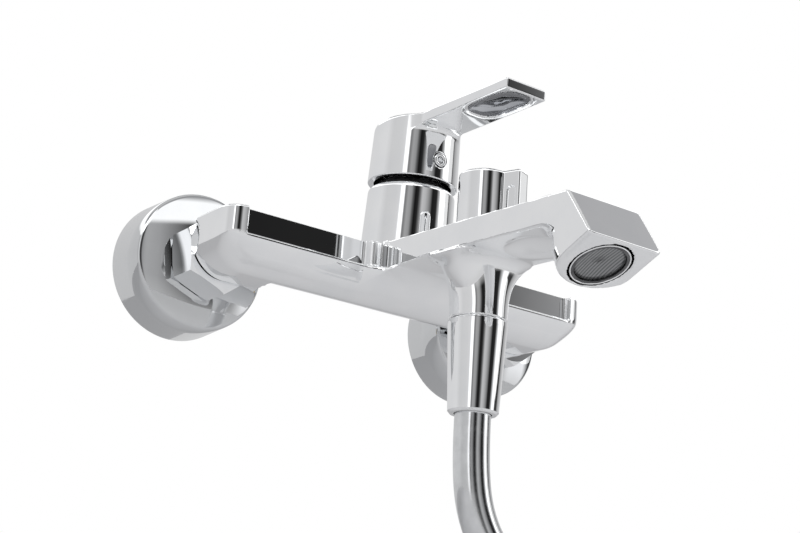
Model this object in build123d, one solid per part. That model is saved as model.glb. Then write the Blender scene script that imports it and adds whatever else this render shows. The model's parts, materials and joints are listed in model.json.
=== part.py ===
"""Wall mounted bath mixer with spout, shower outlet, diverter and shower hose.

Millimetres.  X runs along the body, Y into the wall, Z up.  The origin is on the
finished wall, midway between the two inlets and at the height of the body's inlets.
"""
import math
import os

from build123d import *

os.makedirs("parts", exist_ok=True)

# ---------------------------------------------------------------- clearances
SLIP = 0.10          # radial clearance of pieces that are pushed together
RUN = 0.05           # radial clearance of a turning fit
THREAD_GAP = 0.15    # radial clearance between a male and a female thread
SEAT = 0.05          # axial gap between stacked pieces

# ---------------------------------------------------------------- wall side
INLET_PITCH = 150.0
INLET_X = INLET_PITCH / 2
WALL_THREAD_R = 20.955 / 2   # G 1/2
WALL_THREAD_LEN = 18.0
UNION_THREAD_R = 26.441 / 2  # G 3/4
UNION_BORE_R = 7.0
CONNECTOR_FACE_Y = -32.0     # sealing end of the wall connector
ESC_R_WALL = 29.5
ESC_R_FACE = 28.6
ESC_DEPTH = 23.4
ESC_WALL = 1.0
ESC_EDGE = 2.2

NUT_AF = 30.0
NUT_BACK_Y = -25.0
NUT_LEN = 16.2
NUT_FRONT_WALL = 4.45
NUT_TURN = 22.0
WASHER_THICK = 2.2
NIPPLE_R = 9.5
NIPPLE_COLLAR_R = 12.2
NIPPLE_COLLAR = 2.4
NIPPLE_BORE_AF = 12.0
NIPPLE_DEPTH = 9.0           # length screwed into the body

# ---------------------------------------------------------------- cast body
BAR_HALF = 15.0              # half width of the bar and of the legs
BAR_DROP = 12.6              # depth of the rounded underside below the axis
BAR_Y = -57.0
LEG_BACK_Y = -42.0
DECK_TOP = 10.4
DECK_HALF = INLET_X + BAR_HALF
DECK_FRONT_Y = BAR_Y - BAR_HALF
DECK_CORNER_X = 84.6
DECK_EDGE = 0.8
POCKET_DEPTH = 3.6
POCKET_FLOOR = -0.3
POCKET_OUT_X = 81.0
POCKET_IN_X = 25.0
POCKET_SWEEP = 17.0          # length of the long curve at the pocket's inner end
POCKET_END_R = 3.0
WATERWAY_R = 5.5
LEG_BORE_R = 6.4
BORE_INNER_X = 4.25          # half of the wall between the hot and the cold way

SPOUT_HALF = 17.0
SPOUT_THICK = 10.8
SPOUT_TIP_Y = -181.6
SPOUT_TIP_Z = 6.05
SPOUT_FALL = 0.0541
SPOUT_NOSE_FORWARD = 12.0    # how far the lower end of the front face stands ahead of its top
SPOUT_NOSE_Y = SPOUT_TIP_Y - SPOUT_NOSE_FORWARD
SPOUT_NOSE_Z = -12.4

OUTLET_Y = -112.0
OUTLET_FACE_Z = -26.0
OUTLET_R = 11.3
NIPPLE_OUT_SEAT_R = 8.6
NIPPLE_OUT_SEAT = 12.0
HOSE_THREAD_R = 20.955 / 2   # G 1/2
HOSE_THREAD_LEN = 10.5

AERATOR_BEHIND_TIP = 0.93
AERATOR_Y = SPOUT_TIP_Y + AERATOR_BEHIND_TIP
AERATOR_Z = -18.11
AERATOR_TILT = 23.16
AERATOR_OPEN_R = 12.0
AERATOR_THREAD_R = 11.0
AERATOR_LEN = 9.0
BOSS_R = 14.2

# ---------------------------------------------------------------- cartridge
CART_Y = -59.5
CART_TILT = 3.0
CART_FLOOR = 2.0
CART_R = 12.5
SLEEVE_R_LOW = 19.2
SLEEVE_R_TOP = 18.4
SLEEVE_TOP = 29.7
SLEEVE_ROUND = 2.6
LOCK_R = 14.0
LOCK_TOP = 29.4
LOCK_BOTTOM = 24.2
BASE_THICK = 5.0
DISC_R = 9.6
DISC_THICK = 2.8
MOVING_DISC_R = 7.2
PIVOT_Z = 21.0
TURRET_R = 8.6
STEM_HALF = 3.2
STEM_TOP = 46.0
DOME_R = 18.2
DOME_EDGE_R = 15.8
DOME_HOLE_R = 11.8
DOME_WALL = 1.4

CAP_BOTTOM = 31.9
CAP_TOP = 58.2
CAP_R_LOW = 19.1
CAP_R_TOP = 18.4
CAP_WALL = 2.6
CAP_ROOF = 6.0
CAP_EDGE = 1.2
LEVER_HALF = 10.0
LEVER_TIP = -72.6
LEVER_TOP = 60.0
SOCKET_BOTTOM = 38.6
SOCKET_R = 6.4
LEVER_THICK_ROOT = 5.6
LEVER_THICK_TIP = 4.4
LEVER_SCOOP = 2.6
SET_SCREW_Z = 40.3
SET_SCREW_R = 2.5
PLUG_R = 3.1

# ---------------------------------------------------------------- diverter
KNOB_R = 10.7
KNOB_TOP = 33.8
KNOB_BOTTOM = 10.9
KNOB_WALL = 1.7
KNOB_TAB_HALF = 3.48
KNOB_TAB_REACH = 17.4
KNOB_TURN = 21.4             # where the knob's tab points, from straight ahead
CHAMBER_R = 7.6
CHAMBER_FLOOR = -9.0
SPINDLE_R = 3.6
BONNET_R = 8.2
BONNET_TOP = 19.0
SEAT_TOP = 7.4
MIX_BORE_Z = 1.0
SPOUT_WINDOW_Z = 4.2

# ---------------------------------------------------------------- shower hose
HOSE_R = 7.0
HOSE_NUT_TOP_R = 11.6
HOSE_NUT_END_R = 9.8
HOSE_NUT_LEN = 36.0
HOSE_NUT_GAP = 0.4
FERRULE_R = HOSE_R + 1.1
FERRULE_LEN = 16.0
HOSE_NUT_TOP_Z = OUTLET_FACE_Z - HOSE_NUT_GAP
HOSE_WASHER_Z = OUTLET_FACE_Z - HOSE_THREAD_LEN - SEAT
HOSE_WASHER_THICK = 2.4
FLANGE_Z = HOSE_WASHER_Z - HOSE_WASHER_THICK - SEAT
COIL_R = 83.5
COIL_PITCH = 14.6
COIL_CENTRE = (0.0, -118.0, -208.0)
COIL_SIDE = 7.6
COIL_START = 20.0            # angle past straight up where the hose joins the coil
COIL_END = 900.0
COIL_TIE_ANGLE = 150.0
TAIL_START_X = -46.0
HOSE_ROUTE = [
    (0.0, -112.0, -58.0),
    (-0.6, -112.4, -82.0),
    (3.6, -113.6, -104.0),
    (14.0, -118.0, -120.0),
]


def side_prism(points, half):
    """Solid of an outline drawn in the Y-Z plane, centred on X."""
    face = make_face(Polyline(*[(0, y, z) for y, z in points], close=True))
    return extrude(face, amount=half, dir=(1, 0, 0), both=True)


def ring(outer, inner, z0, z1):
    """Plain tube standing on the local Z axis."""
    body = Pos(0, 0, z0) * Cylinder(outer, z1 - z0, align=(Align.CENTER, Align.CENTER, Align.MIN))
    hole = Pos(0, 0, z0 - 1) * Cylinder(inner, z1 - z0 + 2, align=(Align.CENTER, Align.CENTER, Align.MIN))
    return body - hole


def rod(radius, z0, z1):
    """Plain cylinder standing on the local Z axis."""
    return Pos(0, 0, z0) * Cylinder(radius, z1 - z0, align=(Align.CENTER, Align.CENTER, Align.MIN))


def cone(r0, r1, z0, z1):
    """Frustum standing on the local Z axis."""
    return Pos(0, 0, z0) * Cone(r0, r1, z1 - z0, align=(Align.CENTER, Align.CENTER, Align.MIN))


def turned(points):
    """Solid of revolution about Z from an outline of (radius, height) points."""
    face = make_face(Polyline(*[(r, 0, z) for r, z in points], close=True))
    return revolve(face, axis=Axis.Z, revolution_arc=360)


def along_y(shape):
    """Turn a piece built on Z so that its +Z end points at +Y."""
    return Rot(-90, 0, 0) * shape


def at_inlet(side, shape, y=0.0, z=0.0):
    return Pos(side * INLET_X, y, z) * along_y(shape)


def cart(shape):
    """Place a piece from the cartridge's own frame, which leans forward."""
    return Pos(0, CART_Y, DECK_TOP) * Rot(CART_TILT, 0, 0) * shape


def aerator_frame(shape):
    """Place a piece on the outlet face of the spout, local +Z pointing inwards."""
    return Pos(0, AERATOR_Y, AERATOR_Z) * Rot(-AERATOR_TILT, 0, 0) * shape


def outlet(shape):
    return Pos(0, OUTLET_Y, 0) * shape


def spout_top(y):
    return SPOUT_TIP_Z + SPOUT_FALL * (y - SPOUT_TIP_Y)


# ================================================================ wall side
def wall_connector(side):
    """Union connector: G 1/2 into the wall, G 3/4 towards the mixer."""
    wall = at_wall_rod(WALL_THREAD_R, -1.0, WALL_THREAD_LEN)
    neck = at_wall_rod(WALL_THREAD_R - 1.2, -8.0, -1.0)
    union = at_wall_rod(UNION_THREAD_R, CONNECTOR_FACE_Y, -8.0)
    bore = at_wall_rod(UNION_BORE_R, CONNECTOR_FACE_Y - 1, WALL_THREAD_LEN + 1)
    return Pos(side * INLET_X, 0, 0) * (wall + neck + union - bore)


def at_wall_rod(radius, y0, y1):
    return along_y(rod(radius, y0, y1))


def escutcheon(side):
    """Round cover cup, its open end against the wall."""
    shell = cone(ESC_R_FACE, ESC_R_WALL, -ESC_DEPTH, 0)
    shell = fillet(shell.edges().sort_by(Axis.Z)[0], ESC_EDGE)
    inside = cone(ESC_R_FACE - ESC_WALL, ESC_R_WALL - ESC_WALL, -ESC_DEPTH + ESC_WALL, 0.01)
    inside = fillet(inside.edges().sort_by(Axis.Z)[0], ESC_EDGE - ESC_WALL)
    hole = rod(UNION_THREAD_R + SLIP * 2, -ESC_DEPTH - 1, -ESC_DEPTH + 3)
    return at_inlet(side, shell - inside - hole)


def union_nut(side):
    """Hexagon union nut with a through front wall that pulls on the nipple's collar."""
    blank = extrude(RegularPolygon(NUT_AF / 2, 6, major_radius=False, rotation=NUT_TURN), NUT_LEN)
    crown = NUT_AF / 2 * 1.03
    tall = crown + NUT_LEN
    barrel = turned([
        (0, 0), (crown, 0), (crown + 2.4, 1.4), (crown + 2.4, NUT_LEN - 1.4), (crown, NUT_LEN), (0, NUT_LEN),
    ])
    nut = blank & barrel
    front = rod(NIPPLE_R + SLIP * 3, -1, tall)
    thread = rod(UNION_THREAD_R + THREAD_GAP, NUT_FRONT_WALL, tall)
    nut = nut - front - thread
    return at_inlet(side, nut, NUT_BACK_Y - NUT_LEN)


def collar_back_y():
    return CONNECTOR_FACE_Y - SEAT - WASHER_THICK - SEAT


def inlet_nipple(side):
    """Nipple with a collar inside the union nut, screwed into the body."""
    back = collar_back_y()
    collar = at_wall_rod(NIPPLE_COLLAR_R, back - NIPPLE_COLLAR, back)
    shank = at_wall_rod(NIPPLE_R, LEG_BACK_Y - NIPPLE_DEPTH, back - NIPPLE_COLLAR)
    hexagon = extrude(RegularPolygon(NIPPLE_BORE_AF / 2, 6, major_radius=False), 60)
    bore = Pos(0, LEG_BACK_Y - NIPPLE_DEPTH - 5, 0) * along_y(hexagon)
    return Pos(side * INLET_X, 0, 0) * (collar + shank - bore)


def seal_washer(side):
    disc = ring(NIPPLE_COLLAR_R - 0.3, UNION_BORE_R + 0.6, 0, WASHER_THICK)
    return at_inlet(side, disc, CONNECTOR_FACE_Y - SEAT - WASHER_THICK)


def strainer(side):
    """Round inlet strainer sitting in the hole of the seal washer."""
    disc = rod(UNION_BORE_R + 0.5, 0.6, 1.4)
    for angle in range(0, 360, 60):
        disc -= Rot(0, 0, angle) * Pos(4.2, 0, 0) * rod(1.4, 0, 2)
    disc -= rod(1.4, 0, 2)
    return at_inlet(side, disc, CONNECTOR_FACE_Y - SEAT - WASHER_THICK)


# ================================================================ cast body
def u_profile():
    """Half of the bar's section: flat top, upright side, rounded underside."""
    arc = EllipticalCenterArc((0, 0), BAR_HALF, BAR_DROP, start_angle=-90, arc_size=90)
    side = Line((BAR_HALF, 0), (BAR_HALF, DECK_TOP - 1))
    top = Line((BAR_HALF, DECK_TOP - 1), (0, DECK_TOP - 1))
    spine = Line((0, DECK_TOP - 1), (0, -BAR_DROP))
    return make_face(Wire([arc, side, top, spine]))


def full_u():
    half = u_profile()
    return half + mirror(half, about=Plane.YZ)


def bar_and_legs():
    bar = Pos(0, BAR_Y, 0) * extrude(Plane.YZ * full_u(), amount=INLET_X, both=True)
    leg_len = LEG_BACK_Y - BAR_Y
    whole = bar
    for side in (-1, 1):
        leg = extrude(Plane.XZ * full_u(), amount=-leg_len)
        whole += Pos(side * INLET_X, BAR_Y, 0) * leg
        elbow = revolve(Plane.XZ * u_profile(), axis=Axis.Z, revolution_arc=360)
        whole += Pos(side * INLET_X, BAR_Y, 0) * elbow
    return whole


def deck():
    """Flat upper plate with squarer front corners than the elbows below it."""
    shoulder_y = BAR_Y - 1.0
    right = [
        (DECK_HALF, LEG_BACK_Y),
        (DECK_HALF, shoulder_y),
        (DECK_HALF - 2.4, DECK_FRONT_Y + 3.0),
        (DECK_CORNER_X, DECK_FRONT_Y),
    ]
    left = [(-x, y) for x, y in reversed(right)]
    plan = make_face(Polyline(*right, *left, close=True))
    plate = Pos(0, 0, POCKET_FLOOR) * extrude(plan, DECK_TOP - POCKET_FLOOR)
    upright = plate.edges().filter_by(Axis.Z).group_by(Axis.Y)[0]
    plate = fillet(upright, 1.2)
    return fillet(plate.edges().group_by(Axis.Z)[-1], DECK_EDGE)


def front_pocket(side):
    """Shallow recess along the front of one wing, open at the top."""
    back = DECK_FRONT_Y + POCKET_DEPTH
    mouth = DECK_FRONT_Y - 2
    start = POCKET_IN_X + POCKET_SWEEP
    sag = (POCKET_IN_X + POCKET_SWEEP * 0.45, back - POCKET_DEPTH * 0.30)
    curve = ThreePointArc((POCKET_IN_X, DECK_FRONT_Y), sag, (start, back))
    outline = Polyline(
        (start, back), (POCKET_OUT_X, back), (POCKET_OUT_X, mouth), (POCKET_IN_X, mouth), (POCKET_IN_X, DECK_FRONT_Y)
    )
    plan = make_face(Wire([curve, *outline.edges()]))
    solid = Pos(0, 0, POCKET_FLOOR) * extrude(plan, 30)
    corner = solid.edges().filter_by(Axis.Z).sort_by(lambda e: (e.center().X + e.center().Y))[-1]
    solid = fillet(corner, POCKET_END_R)
    return solid if side > 0 else mirror(solid, about=Plane.YZ)


def spout_slab():
    low = SPOUT_THICK
    root_y = BAR_Y
    return side_prism([
        (root_y, spout_top(root_y)),
        (SPOUT_TIP_Y, SPOUT_TIP_Z),
        (SPOUT_TIP_Y + 8, spout_top(SPOUT_TIP_Y + 8) - low),
        (root_y, spout_top(root_y) - low),
    ], SPOUT_HALF)


def spout_tip():
    """Wedge nose with the round boss that carries the aerator."""
    wedge = side_prism([
        (SPOUT_TIP_Y + 30, spout_top(SPOUT_TIP_Y + 30)),
        (SPOUT_TIP_Y, SPOUT_TIP_Z),
        (SPOUT_NOSE_Y, SPOUT_NOSE_Z),
        (AERATOR_Y, AERATOR_Z),
        (SPOUT_TIP_Y + 11, SPOUT_TIP_Z - SPOUT_THICK + 0.6),
        (SPOUT_TIP_Y + 30, spout_top(SPOUT_TIP_Y + 30) - SPOUT_THICK),
    ], SPOUT_HALF)
    boss = aerator_frame(rod(BOSS_R, 0, 24))
    behind_nose = side_prism([
        (SPOUT_NOSE_Y, SPOUT_NOSE_Z),
        (SPOUT_TIP_Y, SPOUT_TIP_Z),
        (SPOUT_TIP_Y + 40, spout_top(SPOUT_TIP_Y + 40)),
        (SPOUT_TIP_Y + 40, -40),
        (SPOUT_NOSE_Y, -40),
    ], SPOUT_HALF)
    return wedge + (boss & behind_nose)


def shower_outlet():
    """Flared trumpet under the spout, trimmed to the spout's width."""
    flare = Spline(
        (OUTLET_R, 0, OUTLET_FACE_Z), (12.2, 0, -21.5), (13.6, 0, -15.0), (16.4, 0, -9.0), (22.0, 0, -4.0),
        tangents=[(0.15, 0, 1), (1, 0, 0.45)],
    )
    rest = Polyline((22.0, 0, -4.0), (22.0, 0, 1.0), (0, 0, 1.0), (0, 0, OUTLET_FACE_Z), (OUTLET_R, 0, OUTLET_FACE_Z))
    bell = revolve(make_face(Wire([flare, *rest.edges()])), axis=Axis.Z, revolution_arc=360)
    limit = Box(2 * SPOUT_HALF, 80, 80)
    return outlet(bell & limit)


def under_web():
    """Wide root that carries the spout off the bar, curved in plan."""
    root_x = SPOUT_HALF + 21
    y0 = BAR_Y - 4
    tip_y = OUTLET_Y + 14
    bend_r = ThreePointArc(
        (SPOUT_HALF, tip_y), (SPOUT_HALF + 6.6, DECK_FRONT_Y - 6.6), (root_x, DECK_FRONT_Y + 1.5)
    )
    bend_l = ThreePointArc(
        (-root_x, DECK_FRONT_Y + 1.5), (-SPOUT_HALF - 6.6, DECK_FRONT_Y - 6.6), (-SPOUT_HALF, tip_y)
    )
    back = Polyline((root_x, DECK_FRONT_Y + 1.5), (root_x, y0), (-root_x, y0), (-root_x, DECK_FRONT_Y + 1.5))
    front = Line((-SPOUT_HALF, tip_y), (SPOUT_HALF, tip_y))
    plan = make_face(Wire([bend_r, *back.edges(), bend_l, front]))
    web = Pos(0, 0, -7.0) * extrude(plan, 7.0 + POCKET_FLOOR)
    curved = web.edges().group_by(Axis.Z)[0].filter_by(GeomType.CIRCLE)
    return fillet(curved, 3.0)


def sleeve():
    """Round housing of the cartridge on top of the body."""
    solid = cone(SLEEVE_R_LOW, SLEEVE_R_TOP, -6.0, SLEEVE_TOP)
    solid = fillet(solid.edges().sort_by(Axis.Z)[-1], SLEEVE_ROUND)
    return cart(solid)


def body_cavities():
    """Waterways, the cartridge seat, the diverter chamber and the threaded seats."""
    seat_y = LEG_BACK_Y - NIPPLE_DEPTH
    port_y = port_positions()[2][1]
    cuts = [
        cart(rod(CART_R + SLIP, CART_FLOOR, SLEEVE_TOP + 5)),
        cart(rod(LOCK_R + THREAD_GAP, LOCK_BOTTOM - 0.4, SLEEVE_TOP + 5)),
    ]
    for side in (-1, 1):
        cuts.append(at_inlet(side, rod(NIPPLE_R + SLIP, seat_y - 0.5, LEG_BACK_Y + 5)))
        cuts.append(at_inlet(side, rod(LEG_BORE_R, BAR_Y - 2, seat_y)))
        bore = Rot(0, 90 * side, 0) * rod(WATERWAY_R, BORE_INNER_X, INLET_X - 1)
        cuts.append(Pos(0, BAR_Y, 0) * bore)
        cuts.append(cart(Pos(side * 6.0, 1.5, 0) * rod(2.6, -14, CART_FLOOR + 1)))
    run = CART_Y + port_y - OUTLET_Y
    cuts += [
        cart(Pos(0, port_y, 0) * rod(2.5, MIX_BORE_Z - DECK_TOP, CART_FLOOR + 1)),
        Pos(0, OUTLET_Y, MIX_BORE_Z) * along_y(rod(2.7, 0, run)),
        outlet(rod(CHAMBER_R, CHAMBER_FLOOR, 20)),
        outlet(rod(5.0, OUTLET_FACE_Z - 1, CHAMBER_FLOOR + 1)),
        outlet(rod(NIPPLE_OUT_SEAT_R + SLIP, OUTLET_FACE_Z - 1, OUTLET_FACE_Z + NIPPLE_OUT_SEAT)),
        spout_channel(),
        aerator_frame(rod(AERATOR_OPEN_R, -2, 1.2)),
        aerator_frame(rod(AERATOR_THREAD_R + THREAD_GAP, -1, AERATOR_LEN + 1.6)),
    ]
    return cuts


def spout_channel():
    """Flat channel from the diverter chamber to the aerator."""
    start = OUTLET_Y
    end = AERATOR_Y + 4
    wall = 2.6
    return side_prism([
        (start, spout_top(start) - wall),
        (end, spout_top(end) - wall),
        (end - 1, spout_top(end) - SPOUT_THICK + wall - 2),
        (start, spout_top(start) - SPOUT_THICK + wall),
    ], 6.5)


def body_casting():
    solid = bar_and_legs() + deck()
    solid -= front_pocket(1)
    solid -= front_pocket(-1)
    solid += under_web()
    solid += spout_slab()
    solid += spout_tip()
    solid += shower_outlet()
    solid += sleeve()
    for cavity in body_cavities():
        solid -= cavity
    return solid


# ================================================================ aerator
def aerator_housing():
    """Screwed chrome ring of the aerator."""
    shell = ring(AERATOR_THREAD_R, 9.6, 0.4, AERATOR_LEN)
    return aerator_frame(shell)


def aerator_insert():
    """Plastic straightener: a ring crossed by thin bars."""
    rim = ring(9.6 - SLIP, 8.6, 2.6, 6.0)
    grid = None
    for step in range(-4, 5):
        bar = Pos(step * 1.9, 0, 4.6) * Box(0.5, 17.8, 2.6)
        cross = Pos(0, step * 1.9, 4.6) * Box(17.8, 0.5, 2.6)
        grid = bar + cross if grid is None else grid + bar + cross
    return aerator_frame(rim + (grid & rod(8.7, 3.0, 6.0)))


def aerator_screen():
    """Fine steel screen above the straightener."""
    disc = rod(9.6 - SLIP, 6.1, 6.6)
    holes = [Pos(x * 2.2, y * 2.2, 0) * rod(0.7, 5, 8) for x in range(-3, 4) for y in range(-3, 4)]
    for hole in holes:
        disc -= hole
    return aerator_frame(disc)


def aerator_seal():
    return aerator_frame(ring(AERATOR_THREAD_R - 0.1, 8.2, AERATOR_LEN + SEAT, AERATOR_LEN + 1.5))


# ================================================================ cartridge
def port_positions():
    return [(-6.0, 1.5), (6.0, 1.5), (0.0, -6.6)]


def cartridge_base():
    base = rod(CART_R, CART_FLOOR + SEAT + 0.8, CART_FLOOR + BASE_THICK)
    for x, y in port_positions():
        base += Pos(x, y, 0) * ring(3.6, 2.2, CART_FLOOR + SEAT, CART_FLOOR + 1.0)
        base -= Pos(x, y, 0) * rod(2.2, CART_FLOOR - 1, CART_FLOOR + BASE_THICK + 1)
    return cart(base)


def port_seals():
    """Three rubber rings round the ports under the cartridge."""
    seal = ring(4.3, 3.6 + SEAT, CART_FLOOR + SEAT, CART_FLOOR + 0.8)
    return [cart(Pos(x, y, 0) * seal) for x, y in port_positions()]


def fixed_disc():
    low = CART_FLOOR + BASE_THICK + SEAT
    disc = rod(DISC_R, low, low + DISC_THICK)
    for x, y in port_positions():
        disc -= Pos(x * 0.9, y * 0.9, 0) * rod(2.0, low - 1, low + DISC_THICK + 1)
    return cart(disc)


def moving_disc():
    low = CART_FLOOR + BASE_THICK + DISC_THICK + 2 * SEAT
    disc = rod(MOVING_DISC_R, low, low + DISC_THICK)
    disc -= Pos(0, 0.8, 0) * rod(4.0, low - 1, low + 1.4)
    return cart(disc)


def disc_carrier():
    """Slide that the cartridge lever pushes to open the discs."""
    low = CART_FLOOR + BASE_THICK + 2 * DISC_THICK + 3 * SEAT
    block = rod(MOVING_DISC_R, low, low + 2.6)
    block -= Pos(0, 0, low + 2.0) * Box(4.6, 4.6, 3.4)
    return cart(block)


def cartridge_shell():
    """Plastic casing that holds the discs and the turret."""
    low = CART_FLOOR + BASE_THICK + SEAT
    shell = rod(CART_R, low, LOCK_BOTTOM - SEAT)
    shell -= rod(DISC_R + SLIP, low - 1, low + DISC_THICK + SEAT)
    shell -= rod(10.4, low + DISC_THICK, 17.0)
    shell -= rod(TURRET_R + RUN * 2, 16, LOCK_BOTTOM + 1)
    return cart(shell)


def turret():
    """Part of the cartridge that turns with the handle and carries the lever's pin."""
    drum = rod(TURRET_R, 17.2, 25.2)
    drum -= Pos(0, 0, 21) * Box(2 * STEM_HALF + 1.0, 13.5, 20)
    drum -= Pos(0, 0, PIVOT_Z) * Rot(0, 90, 0) * Cylinder(1.25 + RUN, 40)
    return cart(drum)


def pivot_pin():
    pin = Pos(0, 0, PIVOT_Z) * Rot(0, 90, 0) * Cylinder(1.25, 2 * TURRET_R - 1.6)
    return cart(pin)


def cartridge_lever():
    """Steel lever on the pin: square shank above, rounded nose below."""
    shank = Pos(0, 0, (PIVOT_Z + STEM_TOP) / 2) * Box(2 * STEM_HALF, 2 * STEM_HALF, STEM_TOP - PIVOT_Z)
    hub = Pos(0, 0, PIVOT_Z) * Rot(0, 90, 0) * Cylinder(STEM_HALF, 2 * STEM_HALF)
    nose = cone(1.4, 2.0, 14.6, PIVOT_Z)
    lever = shank + hub + nose
    lever -= Pos(0, 0, PIVOT_Z) * Rot(0, 90, 0) * Cylinder(1.25 + RUN, 40)
    return cart(lever)


def lock_nut():
    """Brass ring nut that clamps the cartridge."""
    nut = ring(LOCK_R, 9.6, LOCK_BOTTOM, LOCK_TOP)
    for angle in range(0, 360, 60):
        nut -= Rot(0, 0, angle) * Pos(11.8, 0, LOCK_TOP) * Box(6, 3, 2.4)
    return cart(nut)


def dome_cover():
    """Black cover between the sleeve and the handle, round about the lever's pin."""
    foot = SLEEVE_TOP + SEAT
    ball = Pos(0, 0, PIVOT_Z) * (Sphere(DOME_R) - Sphere(DOME_R - DOME_WALL))
    return cart(ball & ring(DOME_EDGE_R, DOME_HOLE_R, foot, foot + 20))


# ================================================================ handle
def lever_bottom(y):
    share = (y + CAP_R_LOW) / (LEVER_TIP + CAP_R_LOW)
    return LEVER_TOP - (LEVER_THICK_ROOT + (LEVER_THICK_TIP - LEVER_THICK_ROOT) * share)


def handle_top_trim():
    """Everything above the handle's slightly crowned top face."""
    return side_prism([
        (40, CAP_TOP - 40 * math.tan(math.radians(CART_TILT))),
        (0, CAP_TOP),
        (-CAP_R_LOW, LEVER_TOP - 1.2),
        (-0.6 * CAP_R_LOW + 0.4 * LEVER_TIP, LEVER_TOP - 0.5),
        (LEVER_TIP - 5, LEVER_TOP),
        (LEVER_TIP - 5, 90),
        (40, 90),
    ], 40)


def handle():
    """Cap and lever in one piece, with the socket for the cartridge lever."""
    cap = cone(CAP_R_LOW, CAP_R_TOP, CAP_BOTTOM, CAP_TOP + 4)
    blade = side_prism([
        (0, LEVER_TOP + 4),
        (LEVER_TIP, LEVER_TOP + 4),
        (LEVER_TIP, lever_bottom(LEVER_TIP)),
        (-CAP_R_LOW - 6, lever_bottom(-CAP_R_LOW - 6)),
        (-CAP_R_LOW - 2, lever_bottom(-CAP_R_LOW - 2) - 1.2),
        (-CAP_R_LOW + 1.5, lever_bottom(-CAP_R_LOW) - 5.5),
        (0, LEVER_TOP - 16),
    ], LEVER_HALF)
    solid = cap + blade - handle_top_trim()
    top_edges = solid.edges().filter_by(lambda e: e.center().Z > CAP_TOP - 1.6)
    rim = top_edges.filter_by(lambda e: e.geom_type != GeomType.LINE)
    solid = fillet(rim, CAP_EDGE)
    roof = CAP_TOP - CAP_ROOF
    hollow = cone(CAP_R_LOW - CAP_WALL, CAP_R_TOP - CAP_WALL, CAP_BOTTOM - 1, roof)
    socket = rod(SOCKET_R, SOCKET_BOTTOM, roof + 1)
    bridge = Pos(0, -9.5, (SOCKET_BOTTOM - 3 + roof) / 2) * Box(9.0, 15, roof - SOCKET_BOTTOM + 3)
    solid -= hollow - socket - bridge
    fit = STEM_HALF + SLIP
    middle = (CAP_BOTTOM - 4 + STEM_TOP + 0.6) / 2
    solid -= Pos(0, 0, middle) * Box(2 * fit, 2 * fit, STEM_TOP + 4.6 - CAP_BOTTOM)
    solid -= Pos(0, 0, SET_SCREW_Z) * Rot(90, 0, 0) * rod(SET_SCREW_R + SLIP, 0, CAP_R_LOW - 1)
    solid -= Pos(0, 0, SET_SCREW_Z) * Rot(90, 0, 0) * rod(PLUG_R + SLIP, CAP_R_LOW - 4.0, CAP_R_LOW + 3)
    solid -= lever_scoop()
    return cart(solid)


def lever_scoop():
    """Shallow scooped pocket in the underside of the lever."""
    y0 = -40.0
    y1 = LEVER_TIP + 3.2
    low = lever_bottom(y0)
    plan = Pos(0, (y0 + y1) / 2) * RectangleRounded(2 * LEVER_HALF - 3.2, y0 - y1, 2.0)
    return Pos(0, 0, low - 3) * extrude(plan, LEVER_SCOOP + 3)


def handle_set_screw():
    screw = rod(SET_SCREW_R, STEM_HALF + SEAT, STEM_HALF + 8.0)
    screw -= Pos(0, 0, STEM_HALF + 5.6) * extrude(RegularPolygon(1.25, 6, major_radius=False), 4)
    return cart(Pos(0, 0, SET_SCREW_Z) * Rot(90, 0, 0) * screw)


def index_plug():
    """Round chrome plug in the screw hole at the front of the cap."""
    plug = rod(PLUG_R, CAP_R_LOW - 3.9, CAP_R_LOW - 0.2)
    plug -= rod(1.2, CAP_R_LOW - 2.0, CAP_R_LOW + 1)
    return cart(Pos(0, 0, SET_SCREW_Z) * Rot(90, 0, 0) * plug)


# ================================================================ diverter
def diverter_knob():
    """Round knob with a grip tab, its top flush with the tab's."""
    drum = rod(KNOB_R, KNOB_BOTTOM, KNOB_TOP)
    tab_len = KNOB_TAB_REACH
    height = KNOB_TOP - KNOB_BOTTOM
    tab = Pos(0, -tab_len / 2, KNOB_BOTTOM + height / 2) * Box(2 * KNOB_TAB_HALF, tab_len, height)
    knob = drum + tab
    knob = fillet(knob.edges().group_by(Axis.Z)[-1], 0.9)
    knob -= rod(KNOB_R - KNOB_WALL, KNOB_BOTTOM - 1, BONNET_TOP + 2.0)
    knob -= rod(SPINDLE_R + SLIP, BONNET_TOP, KNOB_TOP - 3)
    slot = Pos(-KNOB_TAB_HALF, -(KNOB_R + 3.2), KNOB_BOTTOM + 12.6) * Box(1.6, 2.8, 9.6)
    knob -= slot
    knob -= Pos(0, 0, KNOB_TOP - 7.5) * Rot(-90, 0, 0) * rod(2.0 + SLIP, 0, KNOB_R + 1)
    return outlet(Rot(0, 0, KNOB_TURN) * knob)


def knob_screw():
    screw = rod(2.0, SPINDLE_R + SEAT, KNOB_R - 0.6)
    screw -= Pos(0, 0, KNOB_R - 2.6) * extrude(RegularPolygon(1.0, 6, major_radius=False), 3)
    return outlet(Rot(0, 0, KNOB_TURN) * Pos(0, 0, KNOB_TOP - 7.5) * Rot(-90, 0, 0) * screw)


def diverter_spindle():
    """Spindle with the ported drum that opens the spout or the shower."""
    top = SEAT_TOP - 0.4
    stem = rod(SPINDLE_R, top - 1, KNOB_TOP - 3.4)
    drum = rod(5.6, CHAMBER_FLOOR + 0.4, top) - rod(4.0, CHAMBER_FLOOR - 1, top - 1.2)
    drum -= Pos(0, 0, SPOUT_WINDOW_Z) * Rot(90, 0, 0) * rod(2.0, 0, 8)
    drum -= Pos(0, 0, MIX_BORE_Z) * Rot(-90, 0, 0) * rod(2.0, 0, 8)
    return outlet(Rot(0, 0, KNOB_TURN) * (stem + drum))


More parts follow.
